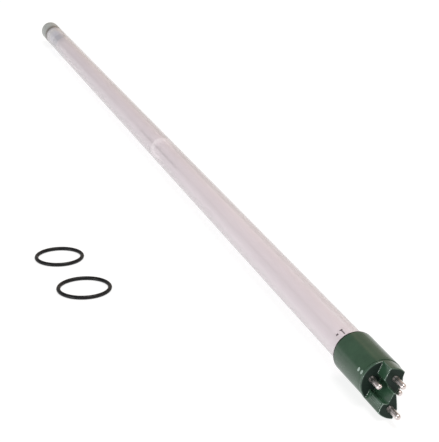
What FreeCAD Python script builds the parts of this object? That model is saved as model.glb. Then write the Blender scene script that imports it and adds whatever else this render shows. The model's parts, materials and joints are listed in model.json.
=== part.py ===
import FreeCAD, Part
import math
import os

# Single-ended four-pin germicidal lamp for a UV clarifier, lying on a flat surface,
# with the two O-rings that go with it lying beside it.  Millimetres, +Z up.
#
# Lamp coordinates: X runs along the lamp, from 0 at the rear rim of the green base
# towards the pins.  The row frame has its origin on the surface, under the middle of
# the whole set's bounding box.

# ---- driving dimensions -------------------------------------------------------------

# jacket: the outer quartz tube
JACKET_R = 9.5
JACKET_WALL = 1.2
JACKET_FAR_X = -838.0
JACKET_NEAR_X = 18.0

# end cap at the far end, the same diameter as the jacket
CAP_FAR_X = -870.0
CAP_R = 9.45
CAP_EDGE_R = 1.6
CAP_SPIGOT_R = 8.1
CAP_SPIGOT_LENGTH = 10.0
CAP_POCKET_R = 7.6
CAP_POCKET_FLOOR_X = -855.0

# arc tube: the inner quartz tube that holds the discharge
ARC_R = 6.0
ARC_WALL = 1.0
ARC_FAR_X = -832.0
ARC_NEAR_X = -8.0

# press seals that close the arc tube; the electrodes stand in the plane of their blades
SEAL_ANGLE = 70.0
SEAL_NECK = 6.0
SEAL_LENGTH = 16.0
SEAL_WIDTH = 10.4
SEAL_THICKNESS = 3.0

# electrodes
LEAD_SPREAD = 1.9
LEAD_R = 0.4
FOIL_LENGTH = 7.0
FOIL_WIDTH = 1.6
FOIL_THICKNESS = 0.2
ELECTRODE_DEPTH = 14.0
COIL_R = 0.9
COIL_WIRE_R = 0.2
COIL_PITCH = 0.6
COIL_HALF_LENGTH = 1.1
CUP_R = 1.15
CUP_THICKNESS = 0.3

# wires that bring the far electrode's current back to the base
WIRE_R = 0.35
WIRE_RADIUS = 6.95
WIRE_ANGLE = 148.0
INSULATION_R = 0.6
INSULATION_BORE_R = 0.36
BARE_FAR_X = -431.0
BARE_NEAR_X = -321.0
INSULATION_NEAR_END_X = 11.0

# spacers that centre the arc tube in the jacket
SPACER_THICKNESS = 1.4
SPACER_CLEARANCE = 0.05
MID_SPACER_X = -388.0
FAR_SPACER_X = -831.6
NEAR_SPACER_X = -3.5

# base: a sleeve over the jacket's end and a stepped pin block in its mouth
SLEEVE_REAR_R = 11.7
SLEEVE_FRONT_R = 11.5
SLEEVE_BORE_R = 9.9
SLEEVE_LENGTH = 34.3
SLEEVE_RIM_R = 0.3
CEMENT_START_X = 1.0

# pin block: four contacts at four heights, so that the lamp seats one way round only
BLOCK_R = 11.55
BLOCK_OFFSET = 0.28
BLOCK_RIM_R = 0.7
BLOCK_SPIGOT_START_X = 20.0
BLOCK_CAVITY_R = 7.6
BLOCK_CAVITY_END_X = 31.0
FLOOR_1_X = 36.2
FLOOR_2_X = 44.55
FLOOR_3_X = 52.0
FLOOR_4_X = 34.7
BLOCK_EDGE_R = 0.6
BLOCK_CORNER_R = 0.7

# contact pins, on the corners of a square about the block's centre
PIN_CIRCLE_R = 6.4
PIN_2_ANGLE = 63.5
PIN_R = 1.5
PIN_EXPOSED = 10.05
PIN_TAIL_X = 28.0
PIN_SHOULDER_R = 1.8
PIN_SHOULDER_LENGTH = 1.5
PIN_LAND = 0.25

# O-rings, and where they lie: along and across from the base's rear rim
RINGS = {
    "o_ring_1": {"bore": 26.0, "section": 2.5, "along": -207.6, "across": -113.5},
    "o_ring_2": {"bore": 28.0, "section": 2.5, "along": -152.0, "across": -109.0},
}

# ---- directions and placement -------------------------------------------------------

V = FreeCAD.Vector
AXIS = V(1, 0, 0)
ORIGIN = V(0, 0, 0)


def radial(angle_deg):
    """Unit vector across the lamp at an angle from +Y towards +Z."""
    a = math.radians(angle_deg)
    return V(0, math.cos(a), math.sin(a))


TOWARDS_2 = radial(PIN_2_ANGLE)
TOWARDS_1 = radial(PIN_2_ANGLE + 90)
BLOCK_CENTRE = TOWARDS_2 * -BLOCK_OFFSET
WIRE_SIDE = radial(WIRE_ANGLE)
SEAL_SIDE = radial(SEAL_ANGLE)
BLADE_NORMAL = radial(SEAL_ANGLE + 90)

LONGEST_PIN_TIP_X = FLOOR_3_X + PIN_EXPOSED
ring_edges = [-r["across"] + r["bore"] / 2 + r["section"] for r in RINGS.values()]
# The lamp lies on the lower of the sleeve's rear rim and the pin block's wall.
AXIS_HEIGHT = max(SLEEVE_REAR_R, BLOCK_R - BLOCK_CENTRE.z)
LAMP_PLACE = V(
    -(CAP_FAR_X + LONGEST_PIN_TIP_X) / 2,
    (max(ring_edges) - SLEEVE_REAR_R) / 2,
    AXIS_HEIGHT,
)


def at(x, offset=ORIGIN):
    """Point at x along the lamp, moved across it by an offset."""
    return V(x, 0, 0) + offset


def rod(radius, x0, x1, offset=ORIGIN):
    return Part.makeCylinder(radius, x1 - x0, at(x0, offset), AXIS)


def pipe(outer, bore, x0, x1, offset=ORIGIN):
    return rod(outer, x0, x1, offset).cut(rod(bore, x0, x1, offset))


def bar(radius, start, end):
    """Round bar between two points."""
    return Part.makeCylinder(radius, (end - start).Length, start, end - start)


def bent_wire(radius, points):
    """Round wire along straight runs, with a ball at each bend."""
    runs = [bar(radius, a, b) for a, b in zip(points, points[1:])]
    bends = [Part.makeSphere(radius, p) for p in points[1:-1]]
    return runs[0].multiFuse(runs[1:] + bends).removeSplitter()


def edges_where(shape, test):
    return [e for e in shape.Edges if test(e)]


def on_plane_x(edge, x):
    return all(abs(v.X - x) < 1e-4 for v in edge.Vertexes) and abs(edge.CenterOfMass.x - x) < 1e-4


# ---- glass --------------------------------------------------------------------------


def jacket_tube():
    return pipe(JACKET_R, JACKET_R - JACKET_WALL, JACKET_FAR_X, JACKET_NEAR_X)


def arc_tube():
    return pipe(ARC_R, ARC_R - ARC_WALL, ARC_FAR_X, ARC_NEAR_X)


def blade_wire(x):
    """Rectangle across the lamp: the flat section of a press seal."""
    w = SEAL_SIDE * (SEAL_WIDTH / 2)
    t = BLADE_NORMAL * (SEAL_THICKNESS / 2)
    corners = [at(x, w + t), at(x, t - w), at(x, -w - t), at(x, w - t)]
    return Part.makePolygon(corners + corners[:1])


def press_seal(end_x, outward):
    """Quartz pressed flat round the foils; outward is +1 at the base, -1 at the far end."""
    circle = Part.Wire([Part.makeCircle(ARC_R, at(end_x), AXIS)])
    neck_x = end_x + outward * SEAL_NECK
    neck = Part.makeLoft([circle, blade_wire(neck_x)], True, True)
    blade = Part.Face(blade_wire(neck_x)).extrude(AXIS * outward * (SEAL_LENGTH - SEAL_NECK))
    return neck.fuse(blade).removeSplitter()


# ---- electrodes ---------------------------------------------------------------------


def foil(end_x, outward, side):
    """Molybdenum foil sealed in the blade, where the current passes through the glass."""
    start = end_x + outward * (SEAL_NECK + 1.0)
    w = SEAL_SIDE * side
    corner = at(start, w * (LEAD_SPREAD - FOIL_WIDTH / 2) - BLADE_NORMAL * (FOIL_THICKNESS / 2))
    edge = Part.makePolygon([
        corner,
        corner + w * FOIL_WIDTH,
        corner + w * FOIL_WIDTH + BLADE_NORMAL * FOIL_THICKNESS,
        corner + BLADE_NORMAL * FOIL_THICKNESS,
        corner,
    ])
    return Part.Face(edge).extrude(AXIS * outward * FOIL_LENGTH)


def foil_inner_x(end_x, outward):
    return end_x + outward * (SEAL_NECK + 1.0)


def foil_outer_x(end_x, outward):
    return foil_inner_x(end_x, outward) + outward * FOIL_LENGTH


def electrode_x(end_x, outward):
    return end_x - outward * ELECTRODE_DEPTH


def electrode_post(end_x, outward, side):
    """Post from the foil to the filament, with the cup that grips the filament's end."""
    offset = SEAL_SIDE * (side * LEAD_SPREAD)
    post_end_x = electrode_x(end_x, outward) - outward * CUP_R
    ends = sorted([foil_inner_x(end_x, outward), post_end_x])
    post = rod(LEAD_R, ends[0], ends[1], offset)
    cup_start = at(electrode_x(end_x, outward), SEAL_SIDE * (side * COIL_HALF_LENGTH))
    cup = bar(CUP_R, cup_start, cup_start + SEAL_SIDE * (side * CUP_THICKNESS))
    stub_end = at(electrode_x(end_x, outward), offset)
    stub = bar(LEAD_R, cup_start + SEAL_SIDE * (side * CUP_THICKNESS / 2), stub_end)
    return post.multiFuse([cup, stub]).removeSplitter()


def filament(end_x, outward):
    """Coiled tungsten filament, wound across the arc tube between the two cups."""
    length = 2 * (COIL_HALF_LENGTH - COIL_WIRE_R)
    path = Part.Wire(Part.makeHelix(COIL_PITCH, length, COIL_R).Edges)
    first = path.Edges[0]
    start = first.valueAt(first.FirstParameter)
    along = first.tangentAt(first.FirstParameter)
    section = Part.Wire([Part.makeCircle(COIL_WIRE_R, start, along)])
    coil = path.makePipeShell([section], True, True)
    coil.translate(V(0, 0, -length / 2))
    turned = FreeCAD.Rotation(V(0, 0, 1), SEAL_SIDE)
    coil.Placement = FreeCAD.Placement(at(electrode_x(end_x, outward)), turned).multiply(coil.Placement)
    return coil


# ---- wiring -------------------------------------------------------------------------


def pin_offset(number):
    direction = {1: TOWARDS_1, 2: TOWARDS_2, 3: -TOWARDS_2, 4: -TOWARDS_1}[number]
    return BLOCK_CENTRE + direction * PIN_CIRCLE_R


def return_wire(side, pin_number):
    """From the far electrode's foil, back past the arc tube, to a contact pin."""
    lead = SEAL_SIDE * (side * LEAD_SPREAD)
    lane = WIRE_SIDE * (side * WIRE_RADIUS)
    turn_x = ARC_FAR_X - SEAL_LENGTH - 3.0
    points = [
        at(foil_outer_x(ARC_FAR_X, -1), lead),
        at(turn_x, lead),
        at(turn_x + 1.5, lane),
        at(PIN_TAIL_X - 5.0, lane),
        at(PIN_TAIL_X - 2.0, pin_offset(pin_number)),
        at(PIN_TAIL_X, pin_offset(pin_number)),
    ]
    return bent_wire(WIRE_R, points)


def supply_wire(side, pin_number):
    """From the near electrode's foil to a contact pin."""
    lead = SEAL_SIDE * (side * LEAD_SPREAD)
    points = [
        at(foil_outer_x(ARC_NEAR_X, 1), lead),
        at(ARC_NEAR_X + SEAL_LENGTH + 1.0, lead),
        at(PIN_TAIL_X - 1.2, pin_offset(pin_number)),
        at(PIN_TAIL_X, pin_offset(pin_number)),
    ]
    return bent_wire(WIRE_R, points)


def insulation(side):
    """Silica tubing over one return wire, bare on each side of the middle spacer."""
    lane = WIRE_SIDE * (side * WIRE_RADIUS)
    far = pipe(INSULATION_R, INSULATION_BORE_R, ARC_FAR_X, BARE_FAR_X, lane)
    near = pipe(INSULATION_R, INSULATION_BORE_R, BARE_NEAR_X, INSULATION_NEAR_END_X, lane)
    return far, near


# ---- spacers and cements ------------------------------------------------------------


def spacer(x, outer_r):
    """Thin ring round the arc tube, with a hole for each return wire."""
    ring = pipe(outer_r, ARC_R + SPACER_CLEARANCE, x, x + SPACER_THICKNESS)
    for side in (1, -1):
        lane = WIRE_SIDE * (side * WIRE_RADIUS)
        ring = ring.cut(rod(INSULATION_R + SPACER_CLEARANCE, x, x + SPACER_THICKNESS, lane))
    return ring


def end_cap():
    """Plug in the jacket's far end, with a pocket for the arc tube's press seal."""
    head = rod(CAP_R, CAP_FAR_X, JACKET_FAR_X)
    head = head.makeFillet(CAP_EDGE_R, edges_where(head, lambda e: on_plane_x(e, CAP_FAR_X)))
    spigot = rod(CAP_SPIGOT_R, JACKET_FAR_X, JACKET_FAR_X + CAP_SPIGOT_LENGTH)
    pocket = rod(CAP_POCKET_R, CAP_POCKET_FLOOR_X, JACKET_FAR_X + CAP_SPIGOT_LENGTH)
    return head.fuse(spigot).cut(pocket).removeSplitter()


def end_cap_cement():
    bore_r = JACKET_R - JACKET_WALL
    return pipe(bore_r, CAP_SPIGOT_R, JACKET_FAR_X, JACKET_FAR_X + CAP_SPIGOT_LENGTH - 0.5)


def base_cement():
    return pipe(SLEEVE_BORE_R, JACKET_R, CEMENT_START_X, JACKET_NEAR_X)


def amalgam_pellet():
    """Mercury amalgam that clings to the arc tube's wall, behind the base."""
    low = V(0, 0, -(ARC_R - ARC_WALL - 0.4))
    return Part.makeSphere(1.4, at(-12.0, low)).common(rod(ARC_R - ARC_WALL, -14.0, -10.0))


# ---- base ---------------------------------------------------------------------------


def base_sleeve():
    body = Part.makeCone(SLEEVE_REAR_R, SLEEVE_FRONT_R, SLEEVE_LENGTH, ORIGIN, AXIS)
    body = body.cut(rod(SLEEVE_BORE_R, 0, SLEEVE_LENGTH))
    rims = edges_where(body, lambda e: on_plane_x(e, 0) and e.Curve.Radius > SLEEVE_BORE_R + 0.1)
    return body.makeFillet(SLEEVE_RIM_R, rims)


def section_point(u, v, x=0.0):
    """Point in the pin block's own section axes: u towards pin 2, v towards pin 1."""
    return at(x, TOWARDS_2 * u + TOWARDS_1 * v)


def prism(outline, x0, x1):
    wire = Part.makePolygon([section_point(u, v, x0) for u, v in outline + outline[:1]])
    return Part.Face(wire).extrude(AXIS * (x1 - x0))


# Outlines reach past the block's round wall, which trims them.
STEP_2_OUTLINE = [
    (-1.2, -3.3), (-0.4, -3.95), (1.6, -4.5), (6.4, -3.9), (10.0, -3.3), (14, -3.1),
    (14, 5.1), (3.4, 5.1), (1.8, 2.2), (-1.2, 2.1),
]
STEP_3_OUTLINE = [
    (-14, -3.9), (-5.8, -3.9), (-2.35, -1.85), (1.2, 0.45),
    (1.2, 2.0), (-5.0, 2.3), (-5.4, 4.9), (-14, 4.9),
]
STEP_4_OUTLINE = [(-14, -3.45), (-14, -14), (14, -14), (14, -3.55), (-1.2, -3.55), (-5.6, -3.45)]


def soften(shape, radius, x):
    """Round a step's top edges at x; falls back to a smaller radius where it must."""
    for r in (radius, radius * 0.7, radius * 0.45):
        try:
            rounded = shape.makeFillet(r, edges_where(shape, lambda e: on_plane_x(e, x)))
        except Part.OCCError:
            continue
        if rounded.isValid() and len(rounded.Solids) == 1 and rounded.Volume < shape.Volume:
            return rounded
    return shape


def is_corner(edge, corners):
    """True for an edge that runs along the lamp over one of the outline's (u, v) corners."""
    if abs(edge.tangentAt(edge.FirstParameter).x) < 0.99:
        return False
    middle = edge.CenterOfMass
    return any(middle.distanceToPoint(section_point(u, v, middle.x)) < 1e-3 for u, v in corners)


def pin_block():
    def trimmed(outline, x0, x1, corners):
        step = prism(outline, x0, x1)
        step = step.makeFillet(BLOCK_CORNER_R, edges_where(step, lambda e: is_corner(e, corners)))
        return step.common(rod(BLOCK_R, x0, x1, BLOCK_CENTRE))

    collar = rod(BLOCK_R, SLEEVE_LENGTH, FLOOR_1_X, BLOCK_CENTRE)
    collar = collar.makeFillet(BLOCK_RIM_R, edges_where(collar, lambda e: on_plane_x(e, FLOOR_1_X)))
    collar = collar.cut(prism(STEP_4_OUTLINE, FLOOR_4_X, FLOOR_1_X + 1))
    step_2 = trimmed(STEP_2_OUTLINE, FLOOR_4_X, FLOOR_2_X, [(3.4, 5.1)])
    step_2 = soften(step_2, BLOCK_EDGE_R, FLOOR_2_X)
    step_3 = trimmed(STEP_3_OUTLINE, FLOOR_4_X, FLOOR_3_X, [(-5.0, 2.3), (-5.4, 4.9)])
    step_3 = soften(step_3, BLOCK_EDGE_R, FLOOR_3_X)
    spigot = rod(SLEEVE_BORE_R, BLOCK_SPIGOT_START_X, SLEEVE_LENGTH)
    block = collar.multiFuse([step_2, step_3, spigot]).removeSplitter()
    block = block.cut(rod(BLOCK_CAVITY_R, BLOCK_SPIGOT_START_X, BLOCK_CAVITY_END_X))
    for number in (1, 2, 3, 4):
        block = block.cut(rod(PIN_R, PIN_TAIL_X, LONGEST_PIN_TIP_X, pin_offset(number)))
    return block


def contact_pin(number):
    """Turned pin with a domed tip and a shoulder that sits on its floor of the block."""
    floor_x = {1: FLOOR_1_X, 2: FLOOR_2_X, 3: FLOOR_3_X, 4: FLOOR_4_X}[number]
    offset = pin_offset(number)
    tip_x = floor_x + PIN_EXPOSED
    shank = rod(PIN_R, PIN_TAIL_X, tip_x - PIN_R, offset)
    tip = Part.makeSphere(PIN_R, at(tip_x - PIN_R, offset))
    land = rod(PIN_SHOULDER_R, floor_x, floor_x + PIN_LAND, offset)
    flare = Part.makeCone(
        PIN_SHOULDER_R, PIN_R, PIN_SHOULDER_LENGTH - PIN_LAND, at(floor_x + PIN_LAND, offset), AXIS
    )
    return shank.multiFuse([tip, land, flare]).removeSplitter()


# ---- O-rings ------------------------------------------------------------------------


def o_ring(ring):
    centre_line_r = (ring["bore"] + ring["section"]) / 2
    section_r = ring["section"] / 2
    height = section_r - AXIS_HEIGHT
    return Part.makeTorus(centre_line_r, section_r, V(ring["along"], ring["across"], height))


# ---- assembly -----------------------------------------------------------------------


def electrode_set(nodes, label, end_x, outward, wires):
    """The press seal, filament, posts, foils and wires at one end of the arc tube."""
    posts = [electrode_post(end_x, outward, side) for side in (1, -1)]
    foils = [foil(end_x, outward, side) for side in (1, -1)]
    seal = press_seal(end_x, outward)
    for piece in posts + foils + wires:
        seal = seal.cut(piece)
    nodes[label + "_press_seal"] = seal
    nodes[label + "_filament"] = filament(end_x, outward)
    nodes[label + "_foils"] = Part.makeCompound(foils)
    for number, post in enumerate(posts, 1):
        nodes["%s_electrode_post_%d" % (label, number)] = post


def build():
    nodes = {"jacket_tube": jacket_tube(), "arc_tube": arc_tube()}

    returns = [return_wire(1, 1), return_wire(-1, 4)]
    supplies = [supply_wire(1, 2), supply_wire(-1, 3)]
    electrode_set(nodes, "far", ARC_FAR_X, -1, returns)
    electrode_set(nodes, "near", ARC_NEAR_X, 1, supplies)
    for number, side in enumerate((1, -1), 1):
        nodes["return_wire_%d" % number] = returns[number - 1]
        nodes["supply_wire_%d" % number] = supplies[number - 1]
        far, near = insulation(side)
        nodes["far_insulation_%d" % number] = far
        nodes["near_insulation_%d" % number] = near

    bore_r = JACKET_R - JACKET_WALL
    nodes["far_spacer"] = spacer(FAR_SPACER_X, CAP_POCKET_R - SPACER_CLEARANCE)
    nodes["middle_spacer"] = spacer(MID_SPACER_X, bore_r - SPACER_CLEARANCE)
    nodes["near_spacer"] = spacer(NEAR_SPACER_X, bore_r - SPACER_CLEARANCE)
    nodes["amalgam_pellet"] = amalgam_pellet()

    nodes["end_cap"] = end_cap()
    nodes["end_cap_cement"] = end_cap_cement()
    nodes["base_sleeve"] = base_sleeve()
    nodes["base_cement"] = base_cement()
    nodes["pin_block"] = pin_block()
    for number in (1, 2, 3, 4):
        nodes["contact_pin_%d" % number] = contact_pin(number)

    for name, ring in RINGS.items():
        nodes[name] = o_ring(ring)
    return nodes


def main():
    os.makedirs("parts", exist_ok=True)
    for name, shape in build().items():
        shape.translate(LAMP_PLACE)
        solids = len(shape.Solids)
        print("%-22s solids %d valid %s volume %.1f mm3" % (name, solids, shape.isValid(), shape.Volume))
        shape.exportStep("parts/%s.step" % name)


main()
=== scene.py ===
import bmesh
import bpy
import json
import math
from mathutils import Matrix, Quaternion, Vector


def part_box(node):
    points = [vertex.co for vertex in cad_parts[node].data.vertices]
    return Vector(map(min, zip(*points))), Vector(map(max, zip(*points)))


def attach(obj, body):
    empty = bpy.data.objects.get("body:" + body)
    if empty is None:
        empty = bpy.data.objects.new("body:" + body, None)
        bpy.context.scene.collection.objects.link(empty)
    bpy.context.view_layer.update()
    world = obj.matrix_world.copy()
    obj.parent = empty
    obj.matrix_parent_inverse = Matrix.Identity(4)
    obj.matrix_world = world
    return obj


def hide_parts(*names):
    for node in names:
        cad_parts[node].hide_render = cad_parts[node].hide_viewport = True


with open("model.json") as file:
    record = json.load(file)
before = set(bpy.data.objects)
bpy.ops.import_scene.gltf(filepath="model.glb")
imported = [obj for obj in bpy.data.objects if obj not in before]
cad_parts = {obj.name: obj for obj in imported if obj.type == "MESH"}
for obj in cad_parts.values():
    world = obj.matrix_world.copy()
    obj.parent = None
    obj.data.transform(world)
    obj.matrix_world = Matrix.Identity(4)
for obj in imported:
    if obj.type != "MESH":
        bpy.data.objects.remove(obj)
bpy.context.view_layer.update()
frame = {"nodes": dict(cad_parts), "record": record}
nodes = frame["nodes"]

MM = 0.001

# The lamp lies along X.  Its own coordinates start at the base's rear rim, on the axis.
base_low, base_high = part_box("base_sleeve")
AXIS_START = Vector((base_low.x, (base_low.y + base_high.y) / 2, (base_low.z + base_high.z) / 2))


def on_lamp(x, radius, angle):
    """Point x millimetres along the lamp, radius millimetres out, at an angle from +Y to +Z."""
    across = Vector((0, math.cos(angle), math.sin(angle))) * radius
    return AXIS_START + (Vector((x, 0, 0)) + across) * MM


# ---- camera -------------------------------------------------------------------------

# Where the photograph was taken from, in metres from AXIS_START, and its direction of view.
# The aim's shifts to the right and up, and the roll, are fine corrections in radians.
IMAGE_HEIGHT = 442
SENSOR_MM = 36.0
FOCAL_PX = 1340.0
CAMERA_FROM_BASE = Vector((0.57393, -0.24593, 0.28903))
LOOK = Vector((-0.90268, 0.27423, -0.33160))
ROLL = -0.003
AIM_RIGHT, AIM_UP = 0.00014, 0.00013


def add_camera():
    data = bpy.data.cameras.new("camera")
    data.sensor_width = SENSOR_MM
    data.lens = FOCAL_PX * SENSOR_MM / IMAGE_HEIGHT
    data.clip_start = 0.01
    data.clip_end = 50
    camera = bpy.data.objects.new("camera", data)
    bpy.context.scene.collection.objects.link(camera)
    camera.location = AXIS_START + CAMERA_FROM_BASE
    camera.rotation_mode = "QUATERNION"
    aim = LOOK.to_track_quat("-Z", "Y")
    look = aim @ Vector((AIM_RIGHT, AIM_UP, -1))
    camera.rotation_quaternion = look.to_track_quat("-Z", "Y") @ Quaternion((0, 0, 1), ROLL)
    bpy.context.scene.camera = camera


# ---- floor, surroundings and lights -------------------------------------------------


def socket_value(node, name, value):
    node.inputs[name].default_value = value


def add_floor():
    """White ground; it glows, so that it stays evenly white."""
    half = 6.0
    mesh = bpy.data.meshes.new("floor")
    corners = [(-half, -half, 0), (half, -half, 0), (half, half, 0), (-half, half, 0)]
    mesh.from_pydata(corners, [], [(0, 1, 2, 3)])
    floor = bpy.data.objects.new("floor", mesh)
    bpy.context.scene.collection.objects.link(floor)
    material = bpy.data.materials.new("floor")
    material.use_nodes = True
    shader = material.node_tree.nodes["Principled BSDF"]
    socket_value(shader, "Base Color", (0.22, 0.22, 0.22, 1))
    socket_value(shader, "Roughness", 0.9)
    socket_value(shader, "Specular IOR Level", 0.1)
    socket_value(shader, "Emission Color", (1, 1, 1, 1))
    socket_value(shader, "Emission Strength", 0.85)
    mesh.materials.append(material)


# Brightness by height, and the warm wall's colour by direction along +Y.
SKY_LEVELS = [(0.0, 0.95), (0.03, 1.15), (0.07, 0.72), (0.16, 0.34), (1.0, 0.3)]
WALL_COLOURS = [
    (0.0, (0, 0, 0)), (0.1, (0.10, 0.06, 0.02)), (0.17, (0.54, 0.38, 0.26)), (0.3, (0.20, 0.13, 0.07))
]


def ramp_of(tree, value, stops):
    """Colour ramp over stops of (place, colour), fed from a value."""
    ramp = tree.nodes.new("ShaderNodeValToRGB")
    tree.links.new(value, ramp.inputs["Fac"])
    while len(ramp.color_ramp.elements) < len(stops):
        ramp.color_ramp.elements.new(0.5)
    for element, (place, colour) in zip(ramp.color_ramp.elements, stops):
        element.position = place
        element.color = (*colour, 1)
    return ramp.outputs["Color"]


def add_surroundings():
    """A bright band at the horizon, dim above, and a warm brown wall on the right."""
    world = bpy.data.worlds.new("surroundings")
    bpy.context.scene.world = world
    world.use_nodes = True
    tree = world.node_tree
    background = tree.nodes["Background"]
    coordinates = tree.nodes.new("ShaderNodeTexCoord")
    split = tree.nodes.new("ShaderNodeSeparateXYZ")
    tree.links.new(coordinates.outputs["Generated"], split.inputs[0])
    sky = ramp_of(tree, split.outputs["Z"], [(place, (level,) * 3) for place, level in SKY_LEVELS])
    wall = ramp_of(tree, split.outputs["Y"], WALL_COLOURS)
    both = tree.nodes.new("ShaderNodeMix")
    both.data_type = "RGBA"
    both.blend_type = "ADD"
    socket_value(both, "Factor", 1.0)
    tree.links.new(sky, both.inputs["A"])
    tree.links.new(wall, both.inputs["B"])
    tree.links.new(both.outputs["Result"], background.inputs["Color"])


def add_softbox(name, direction, level, width_deg):
    """Round softbox, far enough off to light the whole lamp evenly.

    level is how bright it makes white paper that faces it; width_deg is how wide it looks."""
    distance = 5.0
    data = bpy.data.lights.new(name, "AREA")
    data.shape = "DISK"
    data.size = 2 * distance * math.tan(math.radians(width_deg / 2))
    data.energy = level * math.pi**2 * distance**2
    light = bpy.data.objects.new(name, data)
    bpy.context.scene.collection.objects.link(light)
    aim = Vector(direction).normalized()
    light.location = aim * distance
    light.rotation_mode = "QUATERNION"
    light.rotation_quaternion = aim.to_track_quat("Z", "Y")


# ---- materials ----------------------------------------------------------------------


class Finish:
    """One procedural material; lengths are in metres, in the row frame."""

    def __init__(self, name):
        self.material = bpy.data.materials.new(name)
        self.material.use_nodes = True
        self.tree = self.material.node_tree
        self.shader = self.tree.nodes["Principled BSDF"]
        self.output = self.tree.nodes["Material Output"]
        self.place = self.tree.nodes.new("ShaderNodeTexCoord").outputs["Object"]

    def feed(self, value, socket):
        """Links a value that comes from another node's socket, or sets a plain one."""
        if isinstance(value, bpy.types.NodeSocket):
            self.tree.links.new(value, socket)
        elif isinstance(value, tuple) and len(value) == 3 and socket.type == "RGBA":
            socket.default_value = (*value, 1)
        else:
            socket.default_value = value

    def node(self, kind, **inputs):
        made = self.tree.nodes.new(kind)
        for name, value in inputs.items():
            self.feed(value, made.inputs[name.replace("_", " ")])
        return made

    def noise(self, size, detail=3.0, stretch=(1, 1, 1), rough=0.55):
        """Noise from 0 to 1 whose lumps are about size metres, longer where stretch is."""
        stretched = self.node("ShaderNodeMapping", Vector=self.place)
        stretched.inputs["Scale"].default_value = tuple(1 / s for s in stretch)
        made = self.node("ShaderNodeTexNoise", Vector=stretched.outputs[0])
        made.inputs["Scale"].default_value = 1 / size
        made.inputs["Detail"].default_value = detail
        made.inputs["Roughness"].default_value = rough
        return made.outputs["Fac"]

    def level(self, value, low, high, start=0.3, end=0.7):
        """Goes from low to high as value goes from start to end."""
        made = self.node("ShaderNodeMapRange", Value=value)
        for name, number in (("From Min", start), ("From Max", end), ("To Min", low), ("To Max", high)):
            made.inputs[name].default_value = number
        return made.outputs["Result"]

    def colour(self, value, first, second, start=0.3, end=0.7):
        """Goes from the first colour to the second as value goes from start to end."""
        made = self.node("ShaderNodeMix")
        made.data_type = "RGBA"
        self.tree.links.new(self.level(value, 0, 1, start, end), made.inputs["Factor"])
        self.feed(first, made.inputs["A"])
        self.feed(second, made.inputs["B"])
        return made.outputs["Result"]

    def bump(self, height, depth):
        made = self.node("ShaderNodeBump", Height=height)
        made.inputs["Distance"].default_value = depth
        return made.outputs["Normal"]

    def set(self, **inputs):
        for name, value in inputs.items():
            self.feed(value, self.shader.inputs[name.replace("_", " ")])
        return self

    def from_axis(self):
        """Distance from the lamp's axis, in metres."""
        across = self.node("ShaderNodeVectorMath")
        across.operation = "MULTIPLY_ADD"
        self.feed(self.place, across.inputs[0])
        across.inputs[1].default_value = (0, 1, 1)
        across.inputs[2].default_value = (0, -AXIS_START.y, -AXIS_START.z)
        length = self.node("ShaderNodeVectorMath")
        length.operation = "LENGTH"
        self.tree.links.new(across.outputs[0], length.inputs[0])
        return length.outputs["Value"]

    def edge_on(self):
        """0 where a surface is seen square on, rising towards 1 where it is seen edge on."""
        made = self.node("ShaderNodeLayerWeight")
        made.inputs["Blend"].default_value = 0.35
        return made.outputs["Facing"]

    def band(self, start, end, soft):
        """1 between two places along the lamp, in millimetres, fading to 0 over soft millimetres."""
        x = self.node("ShaderNodeSeparateXYZ", Vector=self.place).outputs["X"]
        rise = self.level(x, 0, 1, AXIS_START.x + (start - soft) * MM, AXIS_START.x + start * MM)
        fall = self.level(x, 1, 0, AXIS_START.x + end * MM, AXIS_START.x + (end + soft) * MM)
        both = self.node("ShaderNodeMath", Value=rise)
        both.operation = "MULTIPLY"
        self.tree.links.new(fall, both.inputs[1])
        return both.outputs[0]

    def see_through(self, opacity, edge_opacity, bore_r=0.0):
        """Lets part of what is behind show; the glass looks denser where it is seen edge on.

        Surfaces nearer to the axis than bore_r millimetres are left clear, so each wall counts once."""
        share = self.level(self.edge_on(), opacity, edge_opacity, 0.0, 1.0)
        if bore_r:
            outer = self.node("ShaderNodeMath", Value=self.from_axis())
            outer.operation = "GREATER_THAN"
            outer.inputs[1].default_value = bore_r * MM
            only_outer = self.node("ShaderNodeMath", Value=share)
            only_outer.operation = "MULTIPLY"
            self.tree.links.new(outer.outputs[0], only_outer.inputs[1])
            share = only_outer.outputs[0]
        clear = self.node("ShaderNodeBsdfTransparent")
        mixed = self.node("ShaderNodeMixShader")
        self.tree.links.new(share, mixed.inputs[0])
        self.tree.links.new(clear.outputs[0], mixed.inputs[1])
        self.tree.links.new(self.shader.outputs[0], mixed.inputs[2])
        self.tree.links.new(mixed.outputs[0], self.output.inputs["Surface"])
        return self


ALONG = (60, 1, 1)
# Point attribute that marks the block's end faces for painted shade.
END_FACE_SHADE = "shaded_end_face"

# Blackening beside the far electrode: start, end and fade along the lamp, in millimetres.
HAZE_BAND = (-838, -800, 4)
STAIN_BAND = (-800, -786, 5)
HAZE_LIFT = 1.3


def quartz(name, pale, deep, opacity, edge_opacity, bore_r=0.0, shine=0.5, edge=1.0, stained=None):
    """Drawn quartz tubing: faint lengthwise draw lines and slow clouds of haze.

    edge darkens it where it is seen edge on; stained is its shade beside the far electrode."""
    finish = Finish(name)
    clouds = finish.noise(0.05, 3.0, (3, 1, 1))
    lines = finish.noise(0.0012, 2.0, ALONG)
    body = finish.colour(clouds, pale, deep)
    if stained:
        haze = tuple(HAZE_LIFT * c for c in stained)
        body = finish.colour(finish.band(*HAZE_BAND), body, haze, 0.0, 1.0)
        body = finish.colour(finish.band(*STAIN_BAND), body, stained, 0.0, 1.0)
    rim = tuple(edge * c for c in deep)
    finish.set(
        Base_Color=finish.colour(finish.edge_on(), body, rim, 0.5, 0.9),
        Roughness=finish.level(lines, 0.12, 0.22),
        Specular_IOR_Level=shine,
        IOR=1.46,
        Normal=finish.bump(lines, 0.00001),
    )
    return finish.see_through(opacity, edge_opacity, bore_r)


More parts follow.
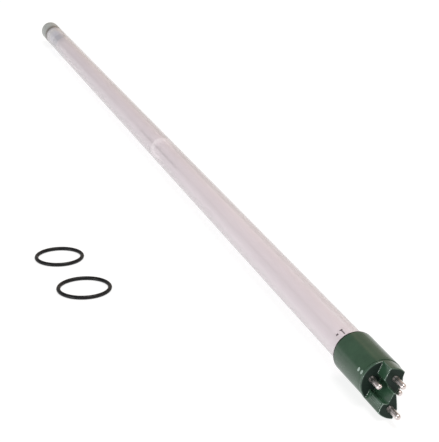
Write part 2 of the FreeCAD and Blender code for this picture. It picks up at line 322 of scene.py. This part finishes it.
def metal(name, light, dark, roughness, grain, stretch):
    """Drawn, rolled or plated metal: fine streaks and patchy tarnish."""
    finish = Finish(name)
    streaks = finish.noise(grain, 4.0, stretch)
    tarnish = finish.noise(0.003, 4.0)
    finish.set(
        Base_Color=finish.colour(tarnish, light, dark),
        Metallic=1.0,
        Roughness=finish.level(streaks, roughness * 0.7, roughness * 1.4),
        Normal=finish.bump(streaks, 0.00002),
    )
    return finish


# What is left of a lined part's shine where it is seen edge on.
EDGE_SHINE_SHARE = 0.3


def moulded(name, colour, mottle, gloss, dull, peel, shine=0.5, line=None):
    """Injection-moulded plastic: slow colour drift, orange peel and a few handling smears.

    line is (start, end, fade, shade): painted shade, a dark band round the part where it meets the glass,
    for the shade in the gap there. A part with such a line also shines less where it is seen edge on."""
    finish = Finish(name)
    drift = finish.noise(0.006, 3.0)
    skin = finish.noise(0.0016, 2.0)
    smears = finish.noise(0.004, 5.0, (3, 1, 1), 0.7)
    body = finish.colour(drift, colour, mottle)
    if line:
        # Painted shade in the gap where the part meets the glass.
        painted_gap_shade = finish.band(*line[:3])
        body = finish.colour(painted_gap_shade, body, line[3], 0.0, 1.0)
        shine = finish.level(finish.edge_on(), shine, EDGE_SHINE_SHARE * shine, 0.5, 0.66)
    finish.set(
        Base_Color=body,
        Roughness=finish.level(smears, gloss, dull),
        Specular_IOR_Level=shine,
        IOR=1.5,
        Normal=finish.bump(skin, peel),
    )
    return finish


def moulded_with_painted_light(name, colour, mottle, shade, painted_edge_highlight):
    """The same plastic on the stepped block: matt end faces with painted shade, and glossier edges painted
    paler in patches as painted highlights.
    """
    finish = moulded(name, colour, mottle, 0.14, 0.3, 0.00002, 0.3)
    plain = finish.shader.inputs["Base Color"].links[0].from_socket
    shaded_end_face = finish.node("ShaderNodeAttribute")
    shaded_end_face.attribute_name = END_FACE_SHADE
    # Painted shade: the end faces take the darker shade colour.
    matt = finish.node("ShaderNodeMix")
    matt.data_type = "RGBA"
    finish.feed(shaded_end_face.outputs["Fac"], matt.inputs["Factor"])
    finish.feed(plain, matt.inputs["A"])
    finish.feed(shade, matt.inputs["B"])
    # Painted highlight: convex edges turn paler, in patches of noise.
    edge = finish.node("ShaderNodeNewGeometry").outputs["Pointiness"]
    highlight_patches = finish.node("ShaderNodeMath", Value=finish.level(edge, 0, 1, 0.515, 0.58))
    highlight_patches.operation = "MULTIPLY"
    finish.feed(finish.level(finish.noise(0.005), 0.25, 1.3, 0.4, 0.62), highlight_patches.inputs[1])
    finish.set(
        Base_Color=finish.colour(highlight_patches.outputs[0], matt.outputs["Result"], painted_edge_highlight, 0.0, 1.0),
        Specular_IOR_Level=finish.level(shaded_end_face.outputs["Fac"], 0.6, 0.1, 0.0, 1.0),
        Roughness=finish.level(edge, 0.22, 0.06, 0.5, 0.54),
    )
    return finish


def powdery(name, pale, stained, grain, painted_glow=0.0):
    """Ceramic and cement: matt, grainy and slightly stained.

    Its emission is painted light, standing in for the light that the glass round a spacer carries to it."""
    finish = Finish(name)
    speck = finish.noise(grain, 6.0, rough=0.7)
    finish.set(
        Base_Color=finish.colour(finish.noise(0.002, 4.0), pale, stained),
        Roughness=finish.level(speck, 0.7, 0.95),
        Normal=finish.bump(speck, 0.00004),
        Emission_Color=pale,
        Emission_Strength=painted_glow,
    )
    return finish


def rubber(name):
    """Black seal rubber: fine specks and a faint bloom."""
    finish = Finish(name)
    speck = finish.noise(0.0006, 4.0)
    bloom = finish.noise(0.006, 4.0, rough=0.7)
    finish.set(
        Base_Color=finish.colour(bloom, (0.003, 0.003, 0.0035), (0.008, 0.008, 0.009)),
        Roughness=finish.level(bloom, 0.3, 0.5),
        Specular_IOR_Level=0.26,
        Normal=finish.bump(speck, 0.00002),
    )
    return finish


def ink(name):
    """Dark print, rubbed thin in places."""
    finish = Finish(name)
    wear = finish.noise(0.0005, 4.0)
    finish.set(
        Base_Color=finish.colour(wear, (0.05, 0.038, 0.045), (0.16, 0.13, 0.14)),
        Roughness=finish.level(wear, 0.4, 0.7),
    )
    return finish


finishes = {
    "quartz_outer": quartz(
        "quartz_outer", (0.86, 0.79, 0.82), (0.82, 0.745, 0.78), 0.45, 0.85,
        bore_r=8.9, shine=0.2, edge=0.55, stained=(0.58, 0.58, 0.63)
    ),
    "quartz_inner": quartz(
        "quartz_inner", (0.86, 0.76, 0.81), (0.80, 0.71, 0.76), 0.8, 0.95,
        bore_r=5.5, shine=0.2, stained=(0.22, 0.23, 0.33)
    ),
    "quartz_pressed": quartz("quartz_pressed", (0.80, 0.78, 0.81), (0.70, 0.69, 0.73), 0.5, 0.8),
    "silica_tubing": quartz("silica_tubing", (0.90, 0.84, 0.87), (0.84, 0.78, 0.81), 0.6, 0.9),
    "tungsten": metal("tungsten", (0.30, 0.30, 0.31), (0.18, 0.18, 0.19), 0.4, 0.0002, (1, 1, 1)),
    "molybdenum": metal("molybdenum", (0.48, 0.47, 0.49), (0.36, 0.35, 0.38), 0.35, 0.0004, ALONG),
    "nickel_posts": metal("nickel_posts", (0.55, 0.54, 0.52), (0.40, 0.38, 0.37), 0.35, 0.0003, ALONG),
    "wire": metal("wire", (0.20, 0.18, 0.18), (0.10, 0.09, 0.09), 0.45, 0.0003, ALONG),
    "amalgam": metal("amalgam", (0.62, 0.62, 0.64), (0.48, 0.48, 0.51), 0.3, 0.0005, (1, 1, 1)),
    "contact_metal": metal("contact_metal", (0.80, 0.74, 0.73), (0.68, 0.60, 0.58), 0.28, 0.0003, ALONG),
    # spacer_ceramic's emission is painted light, not a lamp.
    "spacer_ceramic": powdery("spacer_ceramic", (0.96, 0.93, 0.94), (0.90, 0.86, 0.88), 0.0004, painted_glow=0.28),
    "cement": powdery("cement", (0.80, 0.76, 0.66), (0.66, 0.60, 0.48), 0.0005),
    "end_cap_plastic": moulded(
        "end_cap_plastic", (0.42, 0.44, 0.425), (0.30, 0.31, 0.30), 0.28, 0.5, 0.00003,
        # The cap's line is painted shade where the cap meets the glass.
        shine=0.4, line=(-844.5, -830.0, 5.0, (0.17, 0.155, 0.14))
    ),
    "base_plastic": moulded(
        "base_plastic", (0.031, 0.070, 0.041), (0.039, 0.086, 0.050), 0.10, 0.24, 0.000025,
        # The sleeve's line is painted shade where its rear rim meets the glass.
        shine=0.24, line=(-1.0, 1.0, 0.4, (0.006, 0.010, 0.007))
    ),
    "base_plastic_steps": moulded_with_painted_light(
        "base_plastic_steps", (0.022, 0.062, 0.034), (0.032, 0.080, 0.045),
        # shade is painted shade on the end faces; the pale last colour is a painted highlight on the
        # edges.
        shade=(0.019, 0.032, 0.026), painted_edge_highlight=(0.40, 0.52, 0.46)
    ),
    # A pale finish for the ticks: a painted highlight standing in for their glints.
    "base_plastic_tick_glint": moulded(
        "base_plastic_tick_glint", (0.42, 0.52, 0.47), (0.24, 0.33, 0.28), 0.2, 0.4, 0.00002
    ),
    "seal_rubber": rubber("seal_rubber"),
    "ink": ink("ink"),
}


def dress(obj, finish):
    obj.data.materials.clear()
    obj.data.materials.append(finishes[finish].material)


for part in frame["record"]["subparts"]:
    for slot_of_node in nodes[part["node"]].material_slots:
        slot_of_node.material = finishes[part["material_slot"]].material

# ---- pieces -------------------------------------------------------------------------


def add_piece(name, mesh, finish, body, *replaced):
    piece = bpy.data.objects.new(name, mesh)
    bpy.context.scene.collection.objects.link(piece)
    for face in mesh.polygons:
        face.use_smooth = True
    dress(piece, finish)
    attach(piece, body)
    if replaced:
        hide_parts(*replaced)
    return piece


def apply_modifiers(piece):
    """Keeps the modified shape as the piece's own mesh."""
    shape = piece.evaluated_get(bpy.context.evaluated_depsgraph_get())
    mesh = bpy.data.meshes.new_from_object(shape)
    piece.modifiers.clear()
    piece.data = mesh


def turned_mesh(name, profile, steps):
    """Closed solid turned about the lamp's axis from a closed profile of (x, radius)."""
    mesh = bpy.data.meshes.new(name)
    points, faces = [], []
    count = len(profile)
    for step in range(steps):
        angle = 2 * math.pi * step / steps
        points += [on_lamp(x, radius, angle) for x, radius in profile]
    for step in range(steps):
        here, there = step * count, (step + 1) % steps * count
        for i in range(count):
            j = (i + 1) % count
            faces.append((here + i, here + j, there + j, there + i))
    mesh.from_pydata(points, [], faces)
    mesh.validate()
    tidy = bmesh.new()
    tidy.from_mesh(mesh)
    bmesh.ops.recalc_face_normals(tidy, faces=tidy.faces)
    tidy.to_mesh(mesh)
    tidy.free()
    return mesh


def rounded(corner_x, corner_r, radius, start_angle, end_angle, steps):
    """Arc of a turned profile about a centre, in degrees from +x towards larger radius."""
    arc = []
    for step in range(steps + 1):
        a = math.radians(start_angle + (end_angle - start_angle) * step / steps)
        arc.append((corner_x + radius * math.cos(a), corner_r + radius * math.sin(a)))
    return arc


# A surface starts to count as an end face, which gets painted shade and less shine, where its normal leans
# this far towards the pins, and counts in full once it leans further by the fade.
END_FACE_START, END_FACE_FADE = 0.75, 0.2


def softened_copy(name, node, voxel, rounds):
    """The CAD node's shape with its edges and inner corners rounded as moulded plastic."""
    mesh = nodes[node].data.copy()
    mesh.name = name
    piece = add_piece(name, mesh, "base_plastic_steps", "lamp", node)
    remesh = piece.modifiers.new("remesh", "REMESH")
    remesh.mode = "VOXEL"
    remesh.voxel_size = voxel
    remesh.use_smooth_shade = True
    smooth = piece.modifiers.new("smooth", "SMOOTH")
    smooth.factor = 0.5
    smooth.iterations = rounds
    apply_modifiers(piece)
    for face in piece.data.polygons:
        face.use_smooth = True
    # Marks the end faces, which the block's finish paints in shade.
    share = piece.data.attributes.new(END_FACE_SHADE, "FLOAT", "POINT")
    for vertex, value in zip(piece.data.vertices, share.data):
        value.value = min(1.0, max(0.0, (vertex.normal.x - END_FACE_START) / END_FACE_FADE))
    return piece


def ring_mesh(name, centre, bore, section, turns=144, around=28):
    """O-ring with the thin flash line that its mould leaves on the inside and outside."""
    flash, flash_reach = 0.00005, 2 * math.pi / around
    mid, tube = (bore + section) / 2, section / 2
    mesh = bpy.data.meshes.new(name)
    points, faces = [], []
    for i in range(turns):
        a = 2 * math.pi * i / turns
        out = Vector((math.cos(a), math.sin(a), 0))
        for j in range(around):
            b = 2 * math.pi * j / around
            from_seam = abs(math.remainder(b, math.pi))
            proud = flash * max(0.0, 1 - from_seam / flash_reach)
            r = tube - flash + proud
            points.append(centre + out * (mid + r * math.cos(b)) + Vector((0, 0, r * math.sin(b))))
    for i in range(turns):
        for j in range(around):
            k, l = (i + 1) % turns, (j + 1) % around
            faces.append((i * around + j, k * around + j, k * around + l, i * around + l))
    mesh.from_pydata(points, [], faces)
    return mesh


def add_o_rings():
    for name in ("o_ring_1", "o_ring_2"):
        low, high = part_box(name)
        section = high.z - low.z
        bore = (high.x - low.x) - 2 * section
        mesh = ring_mesh(name + "_seal", (low + high) / 2, bore, section)
        add_piece(name + "_seal", mesh, "seal_rubber", name, name)


def printed_patch(name, outline, columns=8):
    """Thin ink on the jacket.  outline lists x in millimetres, and both edges' angles in degrees."""
    jacket_low, jacket_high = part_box("jacket_tube")
    radius = (jacket_high.z - jacket_low.z) / 2 / MM
    under, over = radius + 0.015, radius + 0.035
    mesh = bpy.data.meshes.new(name)
    shape = bmesh.new()
    rows = []
    for x, low, high in outline:
        angles = [low + (high - low) * c / (columns - 1) for c in range(columns)]
        rows.append([
            [shape.verts.new(on_lamp(x, r, math.radians(a))) for a in angles] for r in (under, over)
        ])
    for (b0, t0), (b1, t1) in zip(rows, rows[1:]):
        for c in range(columns - 1):
            shape.faces.new((t0[c], t0[c + 1], t1[c + 1], t1[c]))
            shape.faces.new((b0[c], b1[c], b1[c + 1], b0[c + 1]))
        shape.faces.new((b0[0], t0[0], t1[0], b1[0]))
        shape.faces.new((b0[-1], b1[-1], t1[-1], t0[-1]))
    for b, t in (rows[0], rows[-1]):
        for c in range(columns - 1):
            shape.faces.new((b[c], b[c + 1], t[c + 1], t[c]))
    bmesh.ops.recalc_face_normals(shape, faces=shape.faces)
    shape.to_mesh(mesh)
    shape.free()
    return add_piece(name, mesh, "ink", "lamp")


def add_printed_mark():
    """A plain arrow towards the base, and a dash beside it."""
    middle = 112.5
    arrow = [
        (-10.2, middle - 6.0, middle + 6.0),
        (-8.6, middle - 2.4, middle + 2.4),
        (-8.0, middle - 1.9, middle + 1.9),
        (-5.6, middle - 1.7, middle + 1.7),
        (-4.6, middle - 1.7, middle + 1.7),
    ]
    printed_patch("printed_arrow", arrow)
    printed_patch("printed_dash", [(-8.9, 128.0, 135.0), (-8.0, 127.0, 136.0), (-7.4, 128.0, 134.0)])


# Directions of pins 2 and 1 from the lamp's axis, from +Y towards +Z.
TOWARDS_2, TOWARDS_1 = math.radians(63.5), math.radians(153.5)


def in_section(x, u, v):
    """Point at x along the lamp in the pin block's section axes: u towards pin 2, v towards pin 1."""
    across = [u * f(TOWARDS_2) + v * f(TOWARDS_1) for f in (math.cos, math.sin)]
    return AXIS_START + Vector((x, *across)) * MM


def solid_of_rings(name, rings):
    """Closed solid skinned over rings of points; its two end rings are capped."""
    shape = bmesh.new()
    rows = [[shape.verts.new(point) for point in ring] for ring in rings]
    count = len(rows[0])
    for a, b in zip(rows, rows[1:]):
        for i in range(count):
            j = (i + 1) % count
            shape.faces.new((a[i], a[j], b[j], b[i]))
    shape.faces.new(rows[0])
    shape.faces.new(rows[-1])
    bmesh.ops.recalc_face_normals(shape, faces=shape.faces)
    mesh = bpy.data.meshes.new(name)
    shape.to_mesh(mesh)
    shape.free()
    return mesh


# Each ring's place along the lamp in millimetres, and its share of the rib's full height.
RIB_PROFILE = [(38.0, 0.35), (38.3, 0.85), (38.7, 1.0), (49.6, 1.0), (50.0, 0.85), (50.3, 0.35)]
RIB_MIDDLES = (-6.4, -7.27, -8.15)


def add_ribs():
    """Three low lengthwise ribs on the tall tower's side wall."""
    wall_v, sunk, proud, half_width = 4.9, 0.25, 0.12, 0.27
    for number, u in enumerate(RIB_MIDDLES, 1):
        rings = []
        for x, share in RIB_PROFILE:
            ring = [(u - half_width, wall_v - sunk), (u + half_width, wall_v - sunk)]
            for step in range(9):
                a = math.pi * step / 8
                ring.append((u + half_width * math.cos(a), wall_v + proud * share * math.sin(a)))
            rings.append([in_section(x, *point) for point in ring])
        name = "tower_rib_%d" % number
        add_piece(name, solid_of_rings(name, rings), "base_plastic_steps", "lamp")


# Each ring's share of the tick's full size, and its height above the sleeve in millimetres.
TICK_PROFILE = [
    (1.0, -0.3), (1.0, 0.0), (0.97, 0.06), (0.87, 0.12),
    (0.71, 0.18), (0.5, 0.22), (0.26, 0.245), (0.08, 0.25),
]
TICK_HALF_LENGTH, TICK_HALF_WIDTH = 0.95, 1.1
# Each tick's place along the lamp in millimetres, and its angle in degrees.
TICK_PLACES = ((29.6, 151.3), (33.1, 151.2))


def add_ticks(rear_r, front_r, length):
    """Two low moulding ticks on the sleeve's side, in a pale finish that is a painted highlight."""
    for number, (x, angle) in enumerate(TICK_PLACES, 1):
        wall_r = rear_r + (front_r - rear_r) * x / length
        rings = []
        for size, height in TICK_PROFILE:
            ring = []
            for step in range(20):
                a = 2 * math.pi * step / 20
                turn = math.radians(angle) + TICK_HALF_WIDTH / wall_r * size * math.sin(a)
                ring.append(on_lamp(x + TICK_HALF_LENGTH * size * math.cos(a), wall_r + height, turn))
            rings.append(ring)
        name = "sleeve_tick_%d" % number
        add_piece(name, solid_of_rings(name, rings), "base_plastic_tick_glint", "lamp")


def add_base():
    """The moulded sleeve and pin block, with the small marks that they carry."""
    sleeve_length = (base_high.x - base_low.x) / MM
    rear_r = (base_high.z - base_low.z) / 2 / MM
    taper, bore_r, bore_edge, rear_rim, front_rim = 0.2, 9.9, 0.2, 0.3, 0.08
    front_r = rear_r - taper
    profile = rounded(rear_rim, rear_r - rear_rim, rear_rim, 180, 90, 8)
    for share in (0.1, 0.3, 0.5, 0.7, 0.9):
        profile.append((sleeve_length * share, rear_r + (front_r - rear_r) * share))
    profile += rounded(sleeve_length - front_rim, front_r - front_rim, front_rim, 90, 0, 5)
    profile += [(sleeve_length, bore_r), (sleeve_length / 2, bore_r)]
    profile += [(bore_edge, bore_r), (0.0, bore_r + bore_edge)]
    name = "base_sleeve_moulded"
    add_piece(name, turned_mesh(name, profile, steps=160), "base_plastic", "lamp", "base_sleeve")
    softened_copy("pin_block_moulded", "pin_block", voxel=0.00025, rounds=6)
    add_ribs()
    add_ticks(rear_r, front_r, sleeve_length)


# ---- making it ----------------------------------------------------------------------

add_base()
add_o_rings()
add_printed_mark()
add_camera()
add_floor()
add_surroundings()
add_softbox("overhead_softbox", (0.25, 0.15, 1.0), level=0.55, width_deg=34)
add_softbox("left_softbox", (0.42, -0.87, 0.17), level=0.26, width_deg=12)

view = bpy.context.scene.view_settings
view.view_transform = "Standard"
